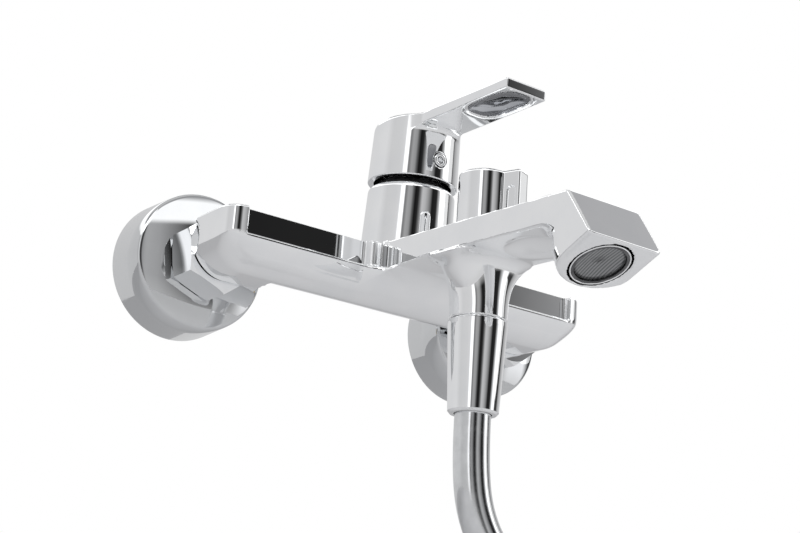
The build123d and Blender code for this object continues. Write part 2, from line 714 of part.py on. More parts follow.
def diverter_seat():
    """Plastic seat round the drum with a window from the cartridge and one to the spout."""
    seat = ring(CHAMBER_R - SLIP, 5.6 + RUN, CHAMBER_FLOOR + SEAT, SEAT_TOP)
    seat -= Pos(0, 0, SPOUT_WINDOW_Z) * Rot(90, 0, 0) * rod(2.2, 0, 12)
    seat -= Pos(0, 0, MIX_BORE_Z) * Rot(-90, 0, 0) * rod(2.2, 0, 12)
    return outlet(seat)


def diverter_bonnet():
    """Threaded gland over the diverter chamber, hidden inside the knob."""
    hole = SPINDLE_R + RUN
    gland = ring(CHAMBER_R - SLIP, hole, SEAT_TOP + 0.1, 13.0)
    flange = ring(BONNET_R, hole, 12.4, BONNET_TOP)
    groove = ring(SPINDLE_R + 1.3, SPINDLE_R - 1, 9.0, 11.0)
    return outlet(gland + flange - groove)


def spindle_seal():
    return outlet(ring(SPINDLE_R + 1.2, SPINDLE_R + 0.02, 9.1, 10.9))


# ================================================================ shower outlet and hose
def outlet_nipple():
    """Screwed nipple, G 1/2 male below the body."""
    upper = rod(NIPPLE_OUT_SEAT_R, OUTLET_FACE_Z, OUTLET_FACE_Z + NIPPLE_OUT_SEAT - 0.3)
    lower = rod(HOSE_THREAD_R, OUTLET_FACE_Z - HOSE_THREAD_LEN, OUTLET_FACE_Z)
    return outlet(upper + lower - rod(5.4, -60, 0))


def nipple_seal():
    low = OUTLET_FACE_Z + NIPPLE_OUT_SEAT - 0.25
    return outlet(ring(NIPPLE_OUT_SEAT_R - 0.2, 5.6, low, low + 0.2))


def hose_nut_profile(top_z):
    end_z = top_z - HOSE_NUT_LEN
    outer = turned([
        (0, top_z), (HOSE_NUT_TOP_R - 0.4, top_z), (HOSE_NUT_TOP_R, top_z - 0.5), (HOSE_NUT_TOP_R, top_z - 2.2),
        (HOSE_NUT_END_R, end_z + 0.8), (HOSE_NUT_END_R - 0.8, end_z), (0, end_z),
    ])
    outer -= rod(HOSE_THREAD_R + THREAD_GAP, top_z - HOSE_THREAD_LEN - 5.2, top_z + 1)
    outer -= rod(FERRULE_R + SLIP, end_z + 2.0, top_z)
    outer -= rod(HOSE_R + 0.3, end_z - 1, top_z)
    return outer


def hose_nut():
    return outlet(hose_nut_profile(HOSE_NUT_TOP_Z))


def hose_washer():
    return outlet(ring(HOSE_THREAD_R - 0.6, 5.4, HOSE_WASHER_Z - HOSE_WASHER_THICK, HOSE_WASHER_Z))


def ferrule(flange_z):
    """Flanged insert and crimp sleeve on the end of the hose."""
    flange = ring(HOSE_THREAD_R - 0.5, 4.6, flange_z - 2.0, flange_z)
    sleeve_part = ring(FERRULE_R, HOSE_R + SEAT, flange_z - FERRULE_LEN, flange_z - 2.0)
    return flange + sleeve_part


def hose_ferrule():
    return outlet(ferrule(FLANGE_Z))


def corner_radii(points):
    """Arc radius at each inner point: 0.45 of the shorter run over the tangent of half the turn."""
    radii = []
    for before, here, after in zip(points, points[1:], points[2:]):
        run_in = Vector(*here) - Vector(*before)
        run_out = Vector(*after) - Vector(*here)
        half_turn = math.radians(run_in.get_angle(run_out) / 2)
        radii.append(0.45 * min(run_in.length, run_out.length) / math.tan(half_turn))
    return radii


def swept_tube(points, radius, name):
    radii = corner_radii(points)
    path = FilletPolyline(*points, radius=radii)
    direction = Vector(*points[1]) - Vector(*points[0])
    section = Plane(origin=points[0], z_dir=direction) * Circle(radius)
    tube = sweep(section, path=path)
    print(name, "length", round(path.length, 1), "radii", [round(r, 1) for r in radii],
          "volume", round(tube.volume, 1), "section x length", round(math.pi * radius ** 2 * path.length, 1))
    return tube


def coil_point(angle, layer_y, radius=COIL_R):
    """Point of the coil, the angle in degrees from straight up, turning towards +X."""
    cx, cy, cz = COIL_CENTRE
    turn = math.radians(angle)
    return (cx + radius * math.sin(turn), cy + layer_y, cz + radius * math.cos(turn))




def coil_layer(angle):
    """Distance of the hose from the coil's first layer at an angle past its start."""
    return COIL_PITCH * (angle - COIL_START) / 360.0


def hose_coil():
    """Closed ring with the outer shape of the wound hose."""
    cx, cy, cz = COIL_CENTRE
    width = coil_layer(COIL_END) + 2 * HOSE_R
    ring_solid = ring(COIL_R + COIL_SIDE, COIL_R - COIL_SIDE, -HOSE_R, width - HOSE_R)
    return Pos(cx, cy, cz) * along_y(ring_solid)


def tail_route():
    """Last stretch of the hose, leaving the bottom of the coil towards -X and sagging a little."""
    _, y, z = coil_point(COIL_END, coil_layer(COIL_END))
    return [(TAIL_START_X, y, z), (-72.0, y, z - 2.5), (-96.0, y, z - 9.0)]


def hose_tail():
    return swept_tube(tail_route(), HOSE_R, "hose_tail")


def end_fitting(shape):
    """Place a hose end piece on the tail, its thread pointing away from the hose."""
    *_, before, last = tail_route()
    direction = Vector(*last) - Vector(*before)
    return Plane(origin=last, z_dir=direction) * shape


def hose_end_ferrule():
    return end_fitting(Pos(0, 0, FERRULE_LEN) * ferrule(0.0))


def hose_end_nut():
    top = FERRULE_LEN + HOSE_NUT_TOP_Z - FLANGE_Z
    return end_fitting(hose_nut_profile(top))


def coil_tie():
    """Strap round all the turns at the top of the coil."""
    cx, cy, cz = COIL_CENTRE
    width = coil_layer(COIL_END) + 2 * HOSE_R
    thick = 1.4
    tall = 2 * COIL_SIDE
    outer = Box(12, width + 2 * thick + 0.4, tall + 2 * thick + 1.2)
    inner = Box(14, width + 0.4, tall + 1.2)
    strap = fillet(outer.edges().filter_by(Axis.X), 2.0) - inner
    turn = COIL_TIE_ANGLE
    x, _, z = coil_point(turn, 0)
    return Pos(x, cy - HOSE_R + width / 2, z) * Rot(0, turn, 0) * strap


def write(name, shape):
    if isinstance(shape, list):
        shape = Compound(children=shape)
    export_step(shape, f"parts/{name}.step")


def main():
    for side, word in ((-1, "left"), (1, "right")):
        write(f"{word}_wall_connector", wall_connector(side))
        write(f"{word}_escutcheon", escutcheon(side))
        write(f"{word}_union_nut", union_nut(side))
        write(f"{word}_inlet_nipple", inlet_nipple(side))
        write(f"{word}_seal_washer", seal_washer(side))
        write(f"{word}_strainer", strainer(side))
    pieces = {
        "body_casting": body_casting,
        "aerator_housing": aerator_housing,
        "aerator_insert": aerator_insert,
        "aerator_screen": aerator_screen,
        "aerator_seal": aerator_seal,
        "cartridge_base": cartridge_base,
        "cartridge_port_seals": port_seals,
        "fixed_ceramic_disc": fixed_disc,
        "moving_ceramic_disc": moving_disc,
        "disc_carrier": disc_carrier,
        "cartridge_shell": cartridge_shell,
        "cartridge_turret": turret,
        "lever_pivot_pin": pivot_pin,
        "cartridge_lever": cartridge_lever,
        "cartridge_lock_nut": lock_nut,
        "dome_cover": dome_cover,
        "handle": handle,
        "handle_set_screw": handle_set_screw,
        "index_plug": index_plug,
        "diverter_knob": diverter_knob,
        "knob_screw": knob_screw,
        "diverter_spindle": diverter_spindle,
        "diverter_seat": diverter_seat,
        "diverter_bonnet": diverter_bonnet,
        "spindle_seal": spindle_seal,
        "outlet_nipple": outlet_nipple,
        "outlet_nipple_seal": nipple_seal,
        "hose_nut": hose_nut,
        "hose_washer": hose_washer,
        "hose_ferrule": hose_ferrule,
        "hose_coil": hose_coil,
        "hose_tail": hose_tail,
        "hose_end_ferrule": hose_end_ferrule,
        "hose_end_nut": hose_end_nut,
        "coil_tie": coil_tie,
    }
    for name, make in pieces.items():
        write(name, make())
    write("hose_tube", swept_tube(HOSE_ROUTE, HOSE_R, "hose_tube"))


main()
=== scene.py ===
"""Looks of the wall mounted bath mixer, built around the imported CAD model.  Metres, Z up, wall at y = 0."""
import json
import math

import bpy
import numpy as np
from mathutils import Matrix, Vector


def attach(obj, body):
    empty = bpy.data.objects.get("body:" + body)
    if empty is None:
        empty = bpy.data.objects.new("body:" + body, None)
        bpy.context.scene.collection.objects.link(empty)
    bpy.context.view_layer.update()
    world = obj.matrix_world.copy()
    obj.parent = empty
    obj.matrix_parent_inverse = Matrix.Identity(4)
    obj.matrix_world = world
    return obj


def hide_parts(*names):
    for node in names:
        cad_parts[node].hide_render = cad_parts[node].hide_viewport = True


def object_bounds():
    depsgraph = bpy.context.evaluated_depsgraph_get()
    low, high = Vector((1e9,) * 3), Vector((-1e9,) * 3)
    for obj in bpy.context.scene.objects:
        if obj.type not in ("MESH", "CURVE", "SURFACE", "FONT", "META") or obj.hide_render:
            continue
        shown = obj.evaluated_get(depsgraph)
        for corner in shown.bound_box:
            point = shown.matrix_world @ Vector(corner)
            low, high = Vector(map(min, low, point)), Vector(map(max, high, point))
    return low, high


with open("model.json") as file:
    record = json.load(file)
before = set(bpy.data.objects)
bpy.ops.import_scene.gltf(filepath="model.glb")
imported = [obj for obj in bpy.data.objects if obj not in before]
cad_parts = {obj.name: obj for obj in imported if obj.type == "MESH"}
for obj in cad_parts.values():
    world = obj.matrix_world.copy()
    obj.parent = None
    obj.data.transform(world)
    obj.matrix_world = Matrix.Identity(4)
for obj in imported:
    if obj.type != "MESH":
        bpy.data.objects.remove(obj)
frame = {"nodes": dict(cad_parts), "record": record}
CAD_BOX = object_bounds()
MM = 0.001


# ---------------------------------------------------------------- node helpers
EVEN = (1.0, 1.0, 1.0)


def new_material(name):
    """Material with one Principled shader on its output."""
    material = bpy.data.materials.new(name)
    material.use_nodes = True
    tree = material.node_tree
    tree.nodes.clear()
    output = tree.nodes.new("ShaderNodeOutputMaterial")
    shader = tree.nodes.new("ShaderNodeBsdfPrincipled")
    tree.links.new(shader.outputs["BSDF"], output.inputs["Surface"])
    return material, tree, shader


def noise(tree, scale, detail=3.0, roughness=0.5, stretch=EVEN):
    """Cloudy value fixed to the object's own coordinates."""
    coordinates = tree.nodes.new("ShaderNodeTexCoord")
    mapping = tree.nodes.new("ShaderNodeMapping")
    mapping.inputs["Scale"].default_value = stretch
    texture = tree.nodes.new("ShaderNodeTexNoise")
    texture.inputs["Scale"].default_value = scale
    texture.inputs["Detail"].default_value = detail
    texture.inputs["Roughness"].default_value = roughness
    tree.links.new(coordinates.outputs["Object"], mapping.inputs["Vector"])
    tree.links.new(mapping.outputs["Vector"], texture.inputs["Vector"])
    return texture.outputs["Fac"]


def ramp(tree, source, stops):
    """Colour ramp through (position, colour) stops."""
    node = tree.nodes.new("ShaderNodeValToRGB")
    elements = node.color_ramp.elements
    while len(elements) < len(stops):
        elements.new(0.5)
    for element, (position, colour) in zip(elements, stops):
        element.position = position
        element.color = (*colour, 1.0)
    tree.links.new(source, node.inputs["Fac"])
    return node.outputs["Color"]


def rescale(tree, source, before, after):
    """Map the range before, a (low, high) pair, to the range after."""
    node = tree.nodes.new("ShaderNodeMapRange")
    for label, value in zip(("From Min", "From Max", "To Min", "To Max"), (*before, *after)):
        node.inputs[label].default_value = value
    tree.links.new(source, node.inputs["Value"])
    return node.outputs["Result"]


def bump(tree, shader, height, strength, distance):
    node = tree.nodes.new("ShaderNodeBump")
    node.inputs["Strength"].default_value = strength
    node.inputs["Distance"].default_value = distance
    tree.links.new(height, node.inputs["Height"])
    tree.links.new(node.outputs["Normal"], shader.inputs["Normal"])


# ---------------------------------------------------------------- materials
CLOUD_RANGE = (0.3, 0.7)
TINT_DARK = 0.35
TINT_LIGHT = 0.65
METAL_BUMP = 0.00002
PLASTIC_BUMP = 0.00005
WIRE_SCALE = 240.0
WIRE_BUMP = 0.0001


def tint(tree, cloud, dark, light):
    """Colour that drifts between two close tones."""
    return ramp(tree, cloud, [(TINT_DARK, dark), (TINT_LIGHT, light)])


def metal(name, dark, light, rough, grain, bump_strength=0.0, stretch=EVEN):
    """Metal whose tint and polish vary a little over the surface."""
    material, tree, shader = new_material(name)
    cloud = noise(tree, grain, 4.0, 0.55, stretch)
    tree.links.new(tint(tree, cloud, dark, light), shader.inputs["Base Color"])
    tree.links.new(rescale(tree, cloud, CLOUD_RANGE, rough), shader.inputs["Roughness"])
    shader.inputs["Metallic"].default_value = 1.0
    if bump_strength:
        bump(tree, shader, noise(tree, grain * 3, 2.0, 0.5, stretch), bump_strength, METAL_BUMP)
    return material


def mesh_metal():
    """Fine parallel wires of the aerator's screen."""
    material, tree, shader = new_material("aerator_mesh")
    coordinates = tree.nodes.new("ShaderNodeTexCoord")
    wave = tree.nodes.new("ShaderNodeTexWave")
    wave.wave_type = "BANDS"
    wave.bands_direction = "X"
    wave.inputs["Scale"].default_value = WIRE_SCALE
    tree.links.new(coordinates.outputs["Object"], wave.inputs["Vector"])
    wires = ramp(tree, wave.outputs["Fac"], [(0.25, (0.16, 0.165, 0.17)), (0.6, (0.34, 0.345, 0.35))])
    tree.links.new(wires, shader.inputs["Base Color"])
    tree.links.new(rescale(tree, noise(tree, 900.0), CLOUD_RANGE, (0.35, 0.5)), shader.inputs["Roughness"])
    shader.inputs["Metallic"].default_value = 0.6
    bump(tree, shader, wave.outputs["Fac"], 0.4, WIRE_BUMP)
    return material


def plastic(name, dark, light, rough, grain, bump_strength=0.2):
    """Plastic, rubber or ceramic with a fine grain."""
    material, tree, shader = new_material(name)
    cloud = noise(tree, grain, 4.0)
    tree.links.new(tint(tree, cloud, dark, light), shader.inputs["Base Color"])
    tree.links.new(rescale(tree, cloud, CLOUD_RANGE, rough), shader.inputs["Roughness"])
    bump(tree, shader, noise(tree, grain * 4, 2.0), bump_strength, PLASTIC_BUMP)
    return material


# Name: darker tone, lighter tone, roughness from and to, scale of the grain, then bump and stretch if any.
METALS = {
    # Dark chrome for the hollow under the lever: painted shade in that recess.
    "pocket_painted_shade": ((0.20, 0.205, 0.22), (0.26, 0.265, 0.28), (0.03, 0.06), 60.0),
    # Near-black metal for the aerator's housing and seal: painted shade in the opening of the spout.
    "aerator_painted_shade": ((0.10, 0.10, 0.105), (0.16, 0.16, 0.165), (0.12, 0.2), 200.0),
    # Chrome toned down for the wall covers, which dims the bright reflection on them: painted shade.
    "cover_painted_shade": ((0.66, 0.67, 0.68), (0.70, 0.71, 0.72), (0.02, 0.05), 60.0),
    "chrome": ((0.93, 0.94, 0.95), (0.97, 0.975, 0.98), (0.015, 0.045), 60.0),
    "soft_chrome": ((0.90, 0.91, 0.92), (0.94, 0.945, 0.95), (0.26, 0.34), 60.0),
    "brass_raw": ((0.62, 0.45, 0.20), (0.74, 0.56, 0.28), (0.22, 0.36), 300.0, 0.25, (1, 8, 1)),
    "steel": ((0.46, 0.46, 0.47), (0.60, 0.60, 0.61), (0.16, 0.30), 500.0, 0.2),
    "hose_sleeve": ((0.70, 0.71, 0.72), (0.80, 0.81, 0.82), (0.10, 0.17), 150.0, 0.1),
}
PLASTICS = {
    "black_plastic": ((0.010, 0.010, 0.011), (0.018, 0.018, 0.019), (0.35, 0.5), 400.0),
    "grey_plastic": ((0.22, 0.23, 0.24), (0.30, 0.31, 0.32), (0.35, 0.5), 400.0),
    "ceramic": ((0.80, 0.80, 0.77), (0.88, 0.88, 0.86), (0.08, 0.16), 200.0, 0.05),
    "rubber_black": ((0.012, 0.012, 0.012), (0.022, 0.022, 0.022), (0.6, 0.8), 600.0, 0.4),
}


def make_materials():
    materials = {name: metal(name, *look) for name, look in METALS.items()}
    materials.update({name: plastic(name, *look) for name, look in PLASTICS.items()})
    materials["aerator_mesh"] = mesh_metal()
    return materials


# ---------------------------------------------------------------- blended solids
# A field gives, for points in millimetres, a value below zero inside the solid and above zero outside.
# Its surface is meshed on a grid, and each point is then pulled onto it in a few short moves.
PROBE = 0.12
PULLS = 4
PULL_REACH = 0.4
LEAST_SLOPE = 0.05


def soft_min(a, b, k):
    """Union with a fillet of about k."""
    share = np.maximum(k - np.abs(a - b), 0.0) / k
    return np.minimum(a, b) - share * share * k * 0.25


def soft_max(a, b, k):
    """Intersection with an edge rounded by about k."""
    return -soft_min(-a, -b, k)


def gradient(field, points):
    """Slope of the field at each point, by central differences."""
    slope = np.empty_like(points)
    for axis in range(3):
        shift = np.zeros(3)
        shift[axis] = PROBE
        ahead = field(*(points + shift).T)
        behind = field(*(points - shift).T)
        slope[:, axis] = (ahead - behind) / (2 * PROBE)
    return slope


def grid_surface(field, low, high, step):
    """Vertices and quads of the field's zero surface on a regular grid."""
    axes = [np.arange(a, b + step, step) for a, b in zip(low, high)]
    values = field(*np.meshgrid(*axes, indexing="ij"))
    inside = values < 0.0
    shape = tuple(n - 1 for n in values.shape)
    total = np.zeros(shape + (3,))
    count = np.zeros(shape)
    quads = []
    for axis in range(3):
        near = [slice(None)] * 3
        far = [slice(None)] * 3
        near[axis] = slice(None, -1)
        far[axis] = slice(1, None)
        a, b = values[tuple(near)], values[tuple(far)]
        crossed = inside[tuple(near)] != inside[tuple(far)]
        place = np.argwhere(crossed)
        share = a[crossed] / (a[crossed] - b[crossed])
        spot = place.astype(float)
        spot[:, axis] += share
        first, second = [other for other in range(3) if other != axis]
        ring = []
        for along, across in ((0, 0), (1, 0), (1, 1), (0, 1)):
            cell = place.copy()
            cell[:, first] -= along
            cell[:, second] -= across
            np.add.at(total, tuple(cell.T), spot)
            np.add.at(count, tuple(cell.T), 1)
            ring.append(cell)
        turned = inside[tuple(near)][crossed] == (axis != 1)
        quads.append((ring, turned))
    used = count > 0
    number = np.full(shape, -1)
    number[used] = np.arange(used.sum())
    vertices = total[used] / count[used][:, None] * step + np.array([axis[0] for axis in axes])
    faces = []
    for ring, turned in quads:
        corners = np.stack([number[tuple(cell.T)] for cell in ring], axis=1)
        corners[~turned] = corners[~turned][:, ::-1]
        faces.append(corners)
    return vertices, np.concatenate(faces)


def ellipsoid(point, centre, size, scale):
    """Below zero inside an ellipsoid; scale is about its mean radius."""
    reach = sum(((value - middle) / half) ** 2 for value, middle, half in zip(point, centre, size))
    return (np.sqrt(reach) - 1.0) * scale


def field_piece(name, field, low, high, step, place, material, body, *stands_for):
    """Closed smooth mesh of a field, its points pulled onto the true surface and shaded by its slope."""
    vertices, faces = grid_surface(field, low, high, step)
    for _ in range(PULLS):
        slope = gradient(field, vertices)
        length = np.maximum((slope * slope).sum(axis=1), LEAST_SLOPE)
        move = (field(*vertices.T) / length)[:, None] * slope
        reach = np.maximum(np.linalg.norm(move, axis=1) / (PULL_REACH * step), 1.0)
        vertices = vertices - move / reach[:, None]
    normals = gradient(field, vertices)
    normals /= np.maximum(np.linalg.norm(normals, axis=1), 1e-6)[:, None]
    turn = np.array(place.to_3x3())
    shift = np.array(place.translation)
    mesh = bpy.data.meshes.new(name)
    mesh.from_pydata((vertices @ turn.T * MM + shift * MM).tolist(), [], faces.tolist())
    mesh.materials.append(material)
    mesh.polygons.foreach_set("use_smooth", np.ones(len(faces), dtype=bool))
    mesh.normals_split_custom_set_from_vertices((normals @ turn.T).tolist())
    piece = bpy.data.objects.new(name, mesh)
    bpy.context.scene.collection.objects.link(piece)
    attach(piece, body)
    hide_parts(*stands_for)
    return piece


# ---------------------------------------------------------------- cast body
INLET_X = 75.0
BAR_Y = -57.0
BAR_HALF = 15.0
BAR_DROP = 12.6
BELLY_CENTRE = 5.0
BELLY_HALF = 15.76
SQUARE_BAND = 9.0
LEG_BACK = -42.0
DECK_TOP = 10.4
RECESS_BACK = -68.0
RECESS_FLOOR = -0.4
END_POST_X = 81.0
CENTRE_POST = (22.6, -69.4, 2.6)
POST_SATIN = 1.5
NOTCH_CENTRE = (92.0, -38.5, 1.5)
NOTCH_SIZE = (5.5, 8.5, 9.0)
SPOUT_HALF = 17.2
TIP_Y = -181.6
TIP_Z = 6.05
SPOUT_FALL = 0.0541
NOSE_Y = -193.6
NOSE_Z = -12.4
BAND_DEPTH = 5.2
BAND_LEAN = math.radians(5.0)
UNDER_CENTRE = (0.0, -146.0, -8.0)
UNDER_SIZE = (14.0, 17.0, 8.5)
WEB_FILLET = 13.0
CREASE_Y = -101.0
CREASE_Z = -0.3
CREASE_FALL = 0.0588
AERATOR_Y = -180.67
AERATOR_Z = -18.11
AERATOR_TILT = math.radians(23.16)
AERATOR_HOLE = 12.0
AERATOR_DEPTH = 7.5
BOSS_SIZE = (19.0, 16.0)
OUTLET_Y = -112.0
OUTLET_END = -26.0
OUTLET_RADIUS = 11.3
OUTLET_FLARE = (0.48, 0.10)
OUTLET_CHAMBER = 7.6
NIPPLE_SEAT = (8.7, -14.0)
INLET_SEAT = (9.6, -51.0)
CART_Y = -59.5
CART_TILT = math.radians(3.0)
SLEEVE_TOP = 29.7
SLEEVE_ROUND = 2.6
SLEEVE_RADIUS = 19.2
SLEEVE_TAPER = 0.8
SLEEVE_BORE = 14.15
SLEEVE_FLOOR = 8.0
BODY_LOW = (-93.0, -196.5, -28.0)
BODY_HIGH = (93.0, -38.0, 42.5)
BODY_STEP = 0.8


def crease_height(y):
    """Height of the line where the spout's side meets the underside."""
    return np.minimum(CREASE_Z + CREASE_FALL * (y - CREASE_Y), RECESS_FLOOR)


def bar_field(x, y, z):
    """Bar and legs: upright sides above, rounded below, squarer corners near the top."""
    side = np.maximum(x - INLET_X, 0.0)
    front = np.abs(y - BAR_Y)
    front = np.where((x > INLET_X - BAR_HALF) & (y > BAR_Y), 0.0, front)
    squared = np.clip((z + SQUARE_BAND) / SQUARE_BAND, 0.0, 1.0)
    power = 2.2 + 1.8 * squared * squared * (3.0 - 2.0 * squared)
    plan = (side ** power + front ** power) ** (1.0 / power)
    below = np.minimum(z - BELLY_CENTRE, 0.0) / (BAR_DROP + BELLY_CENTRE)
    belly = (np.sqrt((plan / BELLY_HALF) ** 2 + below ** 2) - 1.0) * BAR_HALF
    shape = soft_max(belly, plan - BAR_HALF, 0.5)
    shape = soft_max(shape, z - DECK_TOP, 1.2)
    return soft_max(shape, y - LEG_BACK, 0.8)


def end_notch(x, y, z):
    """Lens-shaped hollow behind each end of the bar, next to the union nut."""
    return ellipsoid((x, y, z), NOTCH_CENTRE, NOTCH_SIZE, 6.0)


def recess_field(x, y, z):
    """What is left of the front above the recess floor: a stepped-back wall between rounded posts."""
    wall = -(y - RECESS_BACK)
    wall = soft_min(wall, x - SPOUT_HALF, 12.0)
    post_x, post_y, post_r = CENTRE_POST
    post = np.hypot(x - post_x, y - post_y) - post_r
    solid = soft_min(wall, post, 1.6)
    end = END_POST_X + 0.9 - x
    return soft_min(solid, end, 1.6)


def spout_top(y):
    return TIP_Z + SPOUT_FALL * (y - TIP_Y)


def spout_field(x, y, z):
    """Flat slab of the spout down to the crease along its sides, before its sides are cut."""
    under = crease_height(y) - 1.2 * (1.0 - (x / SPOUT_HALF) ** 2) - z
    shape = soft_max(z - spout_top(y), under, 0.8)
    shape = np.maximum(shape, y - BAR_Y)
    return np.maximum(shape, TIP_Y - 14.0 - y)


def under_hollow(x, y, z):
    """Hollow under the spout, between the outlet and the aerator."""
    return ellipsoid((x, y, z), UNDER_CENTRE, UNDER_SIZE, 10.0)


def aerator_place(y, z):
    """Distance behind the aerator's axis, and height above its mouth."""
    cos, sin = math.cos(AERATOR_TILT), math.sin(AERATOR_TILT)
    back = (y - AERATOR_Y) * cos - (z - AERATOR_Z) * sin
    depth = (y - AERATOR_Y) * sin + (z - AERATOR_Z) * cos
    return back, depth


def nose_field(x, y, z):
    """Boss of the aerator: wider than the spout in front, round at the back."""
    back, depth = aerator_place(y, z)
    flat = np.maximum(back + 3.0, 0.0)
    boss = (np.sqrt((x / BOSS_SIZE[0]) ** 2 + (flat / BOSS_SIZE[1]) ** 2) - 1.0) * 17.0
    boss = boss + np.maximum(depth - 6.0, 0.0) * 0.25 * np.clip(back / 6.0, 0.0, 1.0)
    shape = soft_max(boss, -depth, 1.0)
    return np.maximum(shape, y + 150.0)


def front_field(x, y, z):
    """The sloping front face under a narrow band that leans back a little."""
    run = math.hypot(NOSE_Y - TIP_Y, NOSE_Z - TIP_Z)
    along_y, along_z = (NOSE_Y - TIP_Y) / run, (NOSE_Z - TIP_Z) / run
    along = (y - TIP_Y) * along_y + (z - TIP_Z) * along_z
    front = (y - TIP_Y) * along_z - (z - TIP_Z) * along_y
    crease = BAND_DEPTH + 2.4 * (x / SPOUT_HALF) ** 2 - 2.0
    band = front + (crease - along) * math.tan(BAND_LEAN) * 0.5
    return soft_max(front, band, 0.35)


def outlet_field(x, y, z):
    """Trumpet under the spout, down to the shower hose."""
    rise = np.clip((z - OUTLET_END) / 20.0, 0.0, 1.3)
    wide, deep = (1.0 + flare * rise ** 3 for flare in OUTLET_FLARE)
    bell = np.hypot(x / wide, (y - OUTLET_Y) / deep) - OUTLET_RADIUS
    bell = soft_max(bell, x - SPOUT_HALF + 0.4, 2.0)
    bell = soft_max(bell, OUTLET_END - z, 0.5)
    return np.maximum(bell, z - 2.0)


def sleeve_field(x, y, z):
    """Upright round housing of the cartridge, its top edge rounded, and the bore inside it."""
    cos, sin = math.cos(CART_TILT), math.sin(CART_TILT)
    ahead = (y - CART_Y) * cos + (z - DECK_TOP) * sin
    height = -(y - CART_Y) * sin + (z - DECK_TOP) * cos
    reach = np.hypot(x, ahead)
    radius = SLEEVE_RADIUS - SLEEVE_TAPER * height / SLEEVE_TOP
    out = np.maximum(reach - radius + SLEEVE_ROUND, 0.0)
    up = np.maximum(height - SLEEVE_TOP + SLEEVE_ROUND, 0.0)
    shell = np.hypot(out, up) - SLEEVE_ROUND
    shell = np.maximum(shell, -4.0 - height)
    bore = np.maximum(reach - SLEEVE_BORE, SLEEVE_FLOOR - height)
    return shell, bore


def body_field(x, y, z):
    """The whole casting, the same on both sides."""
    x = np.abs(x)
    bar = bar_field(x, y, z)
    upper = np.maximum(bar, recess_field(x, y, z))
    spout = spout_field(x, y, z)
    outlet = outlet_field(x, y, z)
    web = np.maximum(x - SPOUT_HALF, spout)
    lower = soft_min(bar, web, WEB_FILLET)
    lower = soft_min(lower, outlet, 5.0)
    lower = soft_max(lower, z - crease_height(y), 1.4)
    spout = soft_min(spout, nose_field(x, y, z), 6.0)
    spout = soft_max(spout, x - SPOUT_HALF, 0.6 + 1.8 * np.clip((-2.0 - z) / 5.0, 0.0, 1.0))
    spout = soft_max(spout, z - spout_top(y), 0.8)
    lower = np.where((x < SPOUT_HALF - 0.6) & (y < -78.0), np.maximum(lower, z - spout_top(y) + 2.0), lower)
    solid = soft_min(np.minimum(upper, spout), lower, 0.3)
    solid = soft_max(solid, front_field(x, y, z), 0.9)
    solid = soft_max(solid, -under_hollow(x, y, z), 1.5)
    shell, bore = sleeve_field(x, y, z)
    solid = soft_min(solid, shell, 0.6)
    solid = np.maximum(solid, -bore)
    solid = soft_max(solid, -end_notch(x, y, z), 0.5)
    seat = np.maximum(np.hypot(x - INLET_X, z) - INLET_SEAT[0], INLET_SEAT[1] - y)
    solid = np.maximum(solid, -seat)
    chamber = np.maximum(np.hypot(x, y - OUTLET_Y) - OUTLET_CHAMBER, -9.0 - z)
    nipple = np.maximum(np.hypot(x, y - OUTLET_Y) - NIPPLE_SEAT[0], z - NIPPLE_SEAT[1])
    solid = np.maximum(solid, -np.minimum(chamber, nipple))
    back, depth = aerator_place(y, z)
    hole = soft_max(np.hypot(x, back) - AERATOR_HOLE, depth - AERATOR_DEPTH, 1.0)
    return soft_max(solid, -hole, 0.5)


def make_body(materials):
    """The casting, with a softer polish on the narrow posts beside the spout."""
    body = field_piece("body_shell", body_field, BODY_LOW, BODY_HIGH, BODY_STEP, Matrix.Identity(4),
                       materials["chrome"], "fixture", "body_casting")
    body.data.materials.append(materials["soft_chrome"])
    post_x, post_y, post_r = CENTRE_POST
    for face in body.data.polygons:
        x, y, z = face.center / MM
        beside = math.hypot(abs(x) - post_x, y - post_y) < post_r + POST_SATIN
        if beside and abs(x) > SPOUT_HALF + 0.4 and RECESS_FLOOR + 0.4 < z < DECK_TOP - 0.6:
            face.material_index = 1


# ---------------------------------------------------------------- handle
CAP_BOTTOM = 31.9
CAP_TOP = 58.2
CAP_RADIUS = 19.1
CAP_TAPER = 0.7
CAP_WALL = 2.6
CAP_CEILING = 52.2
LEVER_HALF = 10.0
LEVER_ROOT = -19.1
LEVER_TIP = -72.6
LEVER_BEND = -24.0
LEVER_FACE = 60.0
PLUG_HEIGHT = 40.3
PLUG_HOLE = 3.25
PLUG_FRONT = -18.4
POCKET_HALF = (8.4, 15.4)
POCKET_Y = -55.4
POCKET_DEPTH = 2.6
CART_PLACE = Matrix.Translation((0.0, CART_Y, DECK_TOP)) @ Matrix.Rotation(CART_TILT, 4, "X")


def handle_top(y):
    """Height of the cap's level top, which rises a little along the lever."""
    flat = CAP_TOP - math.tan(CART_TILT) * np.maximum(y, LEVER_BEND)
    return flat + 0.0105 * np.maximum(LEVER_BEND - y, 0.0)


def lever_bottom(y):
    """Underside of the lever, which gets thinner towards its tip."""
    share = np.clip((y - LEVER_ROOT) / (LEVER_TIP - LEVER_ROOT), 0.0, 1.0)
    return LEVER_FACE - (5.6 - 1.2 * share)


def pocket_radius(x, y):
    """Below one inside the outline of the hollow under the lever."""
    return ((np.abs(x) / POCKET_HALF[0]) ** 3 + (np.abs(y - POCKET_Y) / POCKET_HALF[1]) ** 3) ** (1.0 / 3.0)


